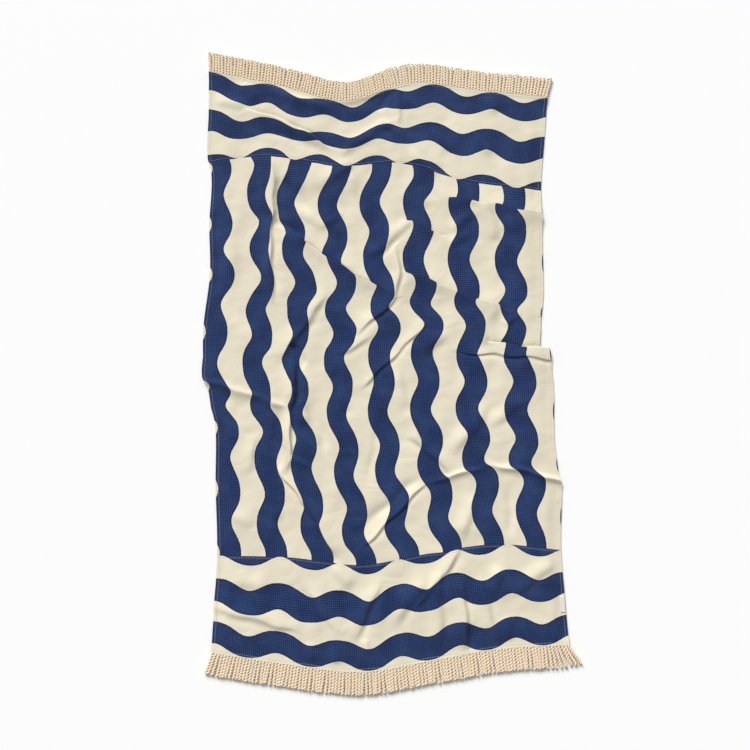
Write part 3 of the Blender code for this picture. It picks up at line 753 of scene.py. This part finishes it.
def cord_roots(name, end, lean_table):
    """A mesh of points, one for each cord, with the way that the cord points."""
    point, out = hem_line(end, np.linspace(-WIDTH / 2, WIDTH / 2, HEM_POINTS))
    run = np.concatenate(([0], np.cumsum(np.linalg.norm(np.diff(point, axis=0), axis=1))))
    at = (np.arange(FRINGE_CORDS) + 0.5) / FRINGE_CORDS * run[-1]
    roots = np.stack([np.interp(at, run, point[:, i]) for i in (0, 1)], axis=1)
    ways = np.stack([np.interp(at, run, out[:, i]) for i in (0, 1)], axis=1)
    ways[:, 1] += end      # halfway between the hem's way out and straight on
    ways /= np.linalg.norm(ways, axis=1)[:, None]
    count = np.arange(FRINGE_CORDS)
    stray = LEAN_STRAY * np.sin(STRAY_RATES[0] * count) * np.sin(STRAY_RATES[1] * count + 2 * end)
    turn = -end * np.radians(np.interp(at / run[-1] - 0.5, LEAN_STATIONS, lean_table) + stray)
    heading = np.arctan2(ways[:, 1], ways[:, 0]) + turn
    mesh = bpy.data.meshes.new(name)
    mesh.from_pydata([(x, y, 0.0) for x, y in roots], [], [])
    mesh.attributes.new("heading", "FLOAT", "POINT").data.foreach_set("value", heading)
    phase = (PHASE_STEP * count + PHASE_STRAY * np.sin(PHASE_STRAY_RATE * count)) % 1.0
    mesh.attributes.new("phase", "FLOAT", "POINT").data.foreach_set("value", phase)
    return add_piece(name, mesh)


# %% [markdown]
# The material of the cords is cream cotton with painted shade in the grooves of the twist,
# where less light gets in.

# %% Cord material
CORD_COTTON = (0.90, 0.81, 0.645)
# the colour of the painted shade in the grooves of the twist
CORD_GROOVE_SHADE = (0.66, 0.44, 0.25)
GROOVE_SHARE = 0.7         # of the shade; the rest is the cotton's fluff
FLUFF_SCALE = 700.0

cord_material, cord_tree, cord_shader = new_material("fringe cord", roughness=0.95)
cord_place = add_node(cord_tree, "ShaderNodeTexCoord").outputs["Object"]
cord_fluff = noise(cord_tree, cord_place, FLUFF_SCALE, detail=3.0)
groove = add_node(cord_tree, "ShaderNodeAttribute", attribute_name="groove").outputs["Fac"]
# painted shade on the groove points, mixed with the cotton's fluff
cord_shade = total(cord_tree, (groove, GROOVE_SHARE), (cord_fluff, 1 - GROOVE_SHARE))
paint(cord_tree, cord_shader, blend(cord_tree, cord_shade, CORD_COTTON, CORD_GROOVE_SHADE))
emboss(cord_tree, cord_shader, cord_fluff, strength=0.4, depth=0.0004)
cord_shader.inputs["Specular IOR Level"].default_value = 0.2


# %% [markdown]
# The tree below has its sizes as named inputs, so one tree serves both ends.

# %% A Geometry Nodes tree with named inputs
def new_tree(name, **inputs):
    """A tree and its two ends; inputs lists the names of the inputs of each kind."""
    tree = bpy.data.node_groups.new(name, "GeometryNodeTree")
    tree.interface.new_socket("Geometry", in_out="INPUT", socket_type="NodeSocketGeometry")
    for kind, labels in inputs.items():
        for label in labels:
            tree.interface.new_socket(label, in_out="INPUT", socket_type="NodeSocket" + kind)
    tree.interface.new_socket("Geometry", in_out="OUTPUT", socket_type="NodeSocketGeometry")
    return tree, add_node(tree, "NodeGroupInput").outputs, add_node(tree, "NodeGroupOutput")


def run_tree(source, tree, values, name):
    """Give an object the tree, with its inputs set, and return the result as a plain mesh."""
    modifier = source.modifiers.new(tree.name, "NODES")
    modifier.node_group = tree
    for item in tree.interface.items_tree:
        if item.in_out == "INPUT" and item.name in values:
            modifier[item.identifier] = values[item.name]
    source.update_tag()
    graph = bpy.context.evaluated_depsgraph_get()
    mesh = bpy.data.meshes.new_from_object(source.evaluated_get(graph))
    bpy.data.objects.remove(source, do_unlink=True)
    mesh.name = name
    print(f"{name}: {len(mesh.polygons)} faces")
    return add_piece(name, mesh)


# %% Sizes of a cord
CORD_RADIUS = 0.0053
CORD_LENGTH = 0.058
CORD_STEPS = 20
CORD_LIFT = 1.02           # its middle lies this many radii above the floor
CORD_WANDER = 0.005
WANDER_SCALE = 42.0
HEADING_JITTER = 0.020     # radians
STRETCH = (0.985, 1.01)    # no two cords have quite the same length
STRETCH_SEED = 7           # added to the seed
TWIST_LENGTH = 0.016
PROFILE_POINTS = 6         # the first and the fourth lie in the groove between the two plies
WAIST_DIP = 0.34           # how deep that groove is, as a share of the radius
TIP_SLIM = 0.15
ROOT_SLIM = 0.35
SLIM_POWER = 12.0          # only the last few millimetres are slimmer


# %% The fringe tree
def fringe_tree():
    tree, given, result = new_tree(
        "twisted fringe", Float=["Cord radius", "Cord length", "Twist length", "Wander"],
        Int=["Steps", "Seed"], Material=["Material"])
    radius, length = given["Cord radius"], given["Cord length"]
    heading, phase = (add_node(tree, "GeometryNodeInputNamedAttribute", {"Name": name},
                               data_type="FLOAT").outputs["Attribute"] for name in ("heading", "phase"))

    # one straight cord along X, set on every root and turned to its heading
    far = output(tree, "ShaderNodeCombineXYZ", {0: length})
    line = output(tree, "GeometryNodeCurvePrimitiveLine", {"End": far})
    line = output(tree, "GeometryNodeResampleCurve", {"Curve": line, "Count": given["Steps"]})
    jitter = add_node(tree, "FunctionNodeRandomValue",
                      {2: -HEADING_JITTER, 3: HEADING_JITTER, "Seed": given["Seed"]},
                      data_type="FLOAT").outputs[1]
    turn = output(tree, "ShaderNodeCombineXYZ", {2: calc(tree, "ADD", heading, jitter)})
    stretch_seed = calc(tree, "ADD", given["Seed"], STRETCH_SEED)
    stretch = add_node(tree, "FunctionNodeRandomValue",
                       {2: STRETCH[0], 3: STRETCH[1], "Seed": stretch_seed},
                       data_type="FLOAT").outputs[1]
    scale = output(tree, "ShaderNodeCombineXYZ", {0: stretch, 1: 1.0, 2: 1.0})
    cords = output(tree, "GeometryNodeInstanceOnPoints",
                   {"Points": given["Geometry"], "Instance": line, "Rotation": turn,
                    "Scale": scale})
    cords = output(tree, "GeometryNodeRealizeInstances", {0: cords})

    # each wanders a little, more towards its tip, and lies on the floor
    along = add_node(tree, "GeometryNodeSplineParameter")
    where = output(tree, "GeometryNodeInputPosition")
    drift = add_node(tree, "ShaderNodeTexNoise",
                     {"Vector": where, "Scale": WANDER_SCALE, "Detail": 1.0}).outputs["Color"]
    drift = calc_vector(tree, "SUBTRACT", drift, (0.5, 0.5, 0.5))
    amount = calc(tree, "MULTIPLY", along.outputs["Factor"], given["Wander"])
    drift = calc_vector(tree, "MULTIPLY", drift, amount)
    up = output(tree, "ShaderNodeCombineXYZ", {2: calc(tree, "MULTIPLY", radius, CORD_LIFT)})
    move = calc_vector(tree, "MULTIPLY_ADD", drift, (1, 1, 0), up)
    cords = output(tree, "GeometryNodeSetPosition", {"Geometry": cords, "Offset": move})

    # the twist turns the profile along the cord, which is slimmer at its tip and its root
    turns = calc(tree, "DIVIDE", along.outputs["Length"], given["Twist length"])
    tilt = calc(tree, "MULTIPLY", calc(tree, "ADD", turns, phase), 2 * math.pi)
    cords = output(tree, "GeometryNodeSetCurveTilt", {"Curve": cords, "Tilt": tilt})
    tip = calc(tree, "POWER", along.outputs["Factor"], SLIM_POWER)
    root = calc(tree, "POWER", calc(tree, "SUBTRACT", 1.0, along.outputs["Factor"]), SLIM_POWER)
    taper = calc(tree, "SUBTRACT", 1.0, total(tree, (tip, TIP_SLIM), (root, ROOT_SLIM)))
    cords = output(tree, "GeometryNodeSetCurveRadius", {"Curve": cords, "Radius": taper})

    # the profile has two lobes, drawn in where the plies meet
    profile = output(tree, "GeometryNodeCurvePrimitiveCircle",
                     {"Resolution": PROFILE_POINTS, "Radius": radius}, mode="RADIUS")
    which = output(tree, "GeometryNodeInputIndex")
    waist = calc(tree, "COMPARE", calc(tree, "MODULO", which, PROFILE_POINTS / 2), 0.0, 0.5)
    shrink = calc_vector(tree, "MULTIPLY", where, calc(tree, "MULTIPLY", waist, -WAIST_DIP))
    profile = output(tree, "GeometryNodeSetPosition", {"Geometry": profile, "Offset": shrink})
    # the groove points are stored so that the cord material can paint shade there
    profile = output(tree, "GeometryNodeStoreNamedAttribute",
                     {"Geometry": profile, "Name": "groove", "Value": waist},
                     data_type="FLOAT", domain="POINT")

    skin = output(tree, "GeometryNodeCurveToMesh",
                  {"Curve": cords, "Profile Curve": profile, "Fill Caps": True})
    skin = output(tree, "GeometryNodeSetShadeSmooth", {0: skin})
    skin = output(tree, "GeometryNodeRealizeInstances", {0: skin})
    skin = output(tree, "GeometryNodeSetMaterial", {"Geometry": skin, "Material": given["Material"]})
    tree.links.new(skin, result.inputs[0])
    return tree


# %% Make both fringes
twisted = fringe_tree()
fringes = {}
for name, end, lean_table, seed in (("towel_top_fringe", 1, TOP_LEAN, 3),
                                    ("towel_bottom_fringe", -1, BOTTOM_LEAN, 11)):
    roots = cord_roots(name + "_roots", end, lean_table)
    sizes = {"Cord radius": CORD_RADIUS, "Cord length": CORD_LENGTH, "Twist length": TWIST_LENGTH,
             "Steps": CORD_STEPS, "Wander": CORD_WANDER, "Seed": seed, "Material": cord_material}
    fringes[name] = run_tree(roots, twisted, sizes, name)

# %% [markdown]
# ## Stitches
#
# A line of stitches holds down each hem and each seam.  The thread is a short raised dash
# that repeats along a path, so Geometry Nodes resample the path and set one on each point.

# %% The stitch tree
STITCH_PITCH = 0.0045
STITCH_SHARE = 0.72        # of the pitch that shows as thread
THREAD_THICKNESS = 0.0009
LINE_STEP = 0.004          # between the points of a line of stitches
THREAD_LIFT = 0.0001       # above the cloth


def stitch_tree():
    tree, given, result = new_tree(
        "running stitch", Float=["Pitch", "Thread", "Share"], Material=["Material"])
    path = output(tree, "GeometryNodeMeshToCurve", {0: given["Geometry"]})
    path = output(tree, "GeometryNodeResampleCurve",
                  {"Curve": path, "Length": given["Pitch"]}, mode="LENGTH")
    tangent = output(tree, "GeometryNodeInputTangent")
    aim = output(tree, "FunctionNodeAlignRotationToVector", {"Vector": tangent}, axis="X")
    dash = output(tree, "GeometryNodeMeshUVSphere", {"Segments": 6, "Rings": 4, "Radius": 0.5})
    long = calc(tree, "MULTIPLY", given["Pitch"], given["Share"])
    scale = output(tree, "ShaderNodeCombineXYZ", {0: long, 1: given["Thread"], 2: given["Thread"]})
    dashes = output(tree, "GeometryNodeInstanceOnPoints",
                    {"Points": path, "Instance": dash, "Rotation": aim, "Scale": scale})
    dashes = output(tree, "GeometryNodeRealizeInstances", {0: dashes})
    dashes = output(tree, "GeometryNodeSetShadeSmooth", {0: dashes})
    dashes = output(tree, "GeometryNodeSetMaterial",
                    {"Geometry": dashes, "Material": given["Material"]})
    tree.links.new(dashes, result.inputs[0])
    return tree


def stitch_line(name, lines):
    """A mesh of plain lines that lie on the cloth; each line is (across, along) arrays."""
    points, edges = [], []
    for across, along in lines:
        first = len(points)
        points.extend(laid(across, along, lift=THREAD_LIFT).tolist())
        edges.extend((i, i + 1) for i in range(first, len(points) - 1))
    mesh = bpy.data.meshes.new(name)
    mesh.from_pydata(points, edges, [])
    return add_piece(name, mesh)


# %% Thread material
THREAD_CREAM = (0.60, 0.56, 0.48)
THREAD_SHADE = (0.46, 0.44, 0.40)
FIBRE_SCALE = 1500.0

thread_material, thread_tree, thread_shader = new_material("cream thread", roughness=0.9)
thread_place = add_node(thread_tree, "ShaderNodeTexCoord").outputs["Object"]
thread_fibres = noise(thread_tree, thread_place, FIBRE_SCALE)
paint(thread_tree, thread_shader, blend(thread_tree, thread_fibres, THREAD_CREAM, THREAD_SHADE))

# %% Sew the hems and seams
HEM_STITCH = 0.0080        # from the cut edge
SEAM_STITCH = 0.0050       # from the seam, on the border's side


def lengthwise(side, low, high):
    along = np.arange(low + LINE_STEP, high - LINE_STEP, LINE_STEP)
    return np.full_like(along, side * (WIDTH / 2 - HEM_STITCH)), along


def crosswise(along):
    across = np.arange(-WIDTH / 2 + LINE_STEP, WIDTH / 2 - LINE_STEP, LINE_STEP)
    return across, np.full_like(across, along)


running = stitch_tree()
sewing = {"Pitch": STITCH_PITCH, "Thread": THREAD_THICKNESS, "Share": STITCH_SHARE,
          "Material": thread_material}
sewn = []
for name, low, high, crossings in (
        ("body_stitches", -SEAM, SEAM, ()),
        ("top_border_stitches", SEAM, END_HEM, (SEAM + SEAM_STITCH, END_HEM - HEM_STITCH)),
        ("bottom_border_stitches", -END_HEM, -SEAM, (-SEAM - SEAM_STITCH, -END_HEM + HEM_STITCH))):
    lines = [lengthwise(side, low, high) for side in (-1, 1)] + [crosswise(a) for a in crossings]
    sewn.append(run_tree(stitch_line(name + "_path", lines), running, sewing, name))
body_stitches, top_stitches, bottom_stitches = sewn

# %% [markdown]
# ## The label
#
# A short plain tape, caught in the side hem of the lower border.  The real tape is folded once; here it
# is one layer whose free edge curls up a little.

# %% Label
TAPE_WIDTH = 0.015
TAPE_LENGTH = 0.048
TAPE_THICKNESS = 0.0009
TAPE_ALONG = -0.752
TAPE_INSET = 0.0012
TAPE_LIFT = 0.0004         # above the cloth
TAPE_CURL = 0.0012         # how far its free edge rises
TAPE_CURL_RATE = 2.6
TAPE_QUADS = (8, 20)
TAPE_PALE = (0.84, 0.81, 0.73)
TAPE_SHADE = (0.76, 0.73, 0.65)
TAPE_WEAVE_SCALE = 420.0

label_material, label_tree, label_shader = new_material("plain tape", roughness=0.75)
label_place = add_node(label_tree, "ShaderNodeTexCoord").outputs["Object"]
label_weave = add_node(label_tree, "ShaderNodeTexWave",
                       {"Vector": label_place, "Scale": TAPE_WEAVE_SCALE,
                        "Distortion": 1.0}).outputs["Fac"]
paint(label_tree, label_shader, blend(label_tree, label_weave, TAPE_PALE, TAPE_SHADE))
emboss(label_tree, label_shader, label_weave, strength=0.3, depth=0.0003)

label_bm = bmesh.new()
bmesh.ops.create_grid(label_bm, x_segments=TAPE_QUADS[0], y_segments=TAPE_QUADS[1], size=0.5)
tape_flat = np.array([v.co for v in label_bm.verts])
tape_middle = WIDTH / 2 - TAPE_INSET - TAPE_WIDTH / 2
tape_places = laid(tape_middle + tape_flat[:, 0] * TAPE_WIDTH,
                   TAPE_ALONG + tape_flat[:, 1] * TAPE_LENGTH, lift=TAPE_LIFT)
tape_places[:, 2] += TAPE_CURL * np.cos(tape_flat[:, 1] * TAPE_CURL_RATE) * (0.5 - tape_flat[:, 0])
for vert, place in zip(label_bm.verts, tape_places):
    vert.co = place
for face in label_bm.faces:
    face.smooth = True
label_mesh = bpy.data.meshes.new("towel_label")
label_bm.to_mesh(label_mesh)
label_bm.free()
label = add_piece("towel_label", label_mesh, label_material)
wall = label.modifiers.new("tape thickness", "SOLIDIFY")
wall.thickness = TAPE_THICKNESS
wall.offset = 1.0
print("label:", len(label_mesh.polygons), "faces")

# %% [markdown]
# ## Put each piece on the rigid body
#
# Each piece rides on the one rigid body.  All but the stitches stand for a solid of the
# model, and that solid is hidden.

for piece, node, finish in (
        (body, "body_cloth", "striped_cotton"),
        (top, "top_border", "border_cotton"),
        (bottom, "bottom_border", "border_cotton"),
        (fringes["towel_top_fringe"], "top_fringe", "cord_cotton"),
        (fringes["towel_bottom_fringe"], "bottom_fringe", "cord_cotton"),
        (label, "side_label", "plain_tape")):
    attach(piece, "root")
    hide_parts(node)
for piece in (body_stitches, top_stitches, bottom_stitches):
    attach(piece, "root")
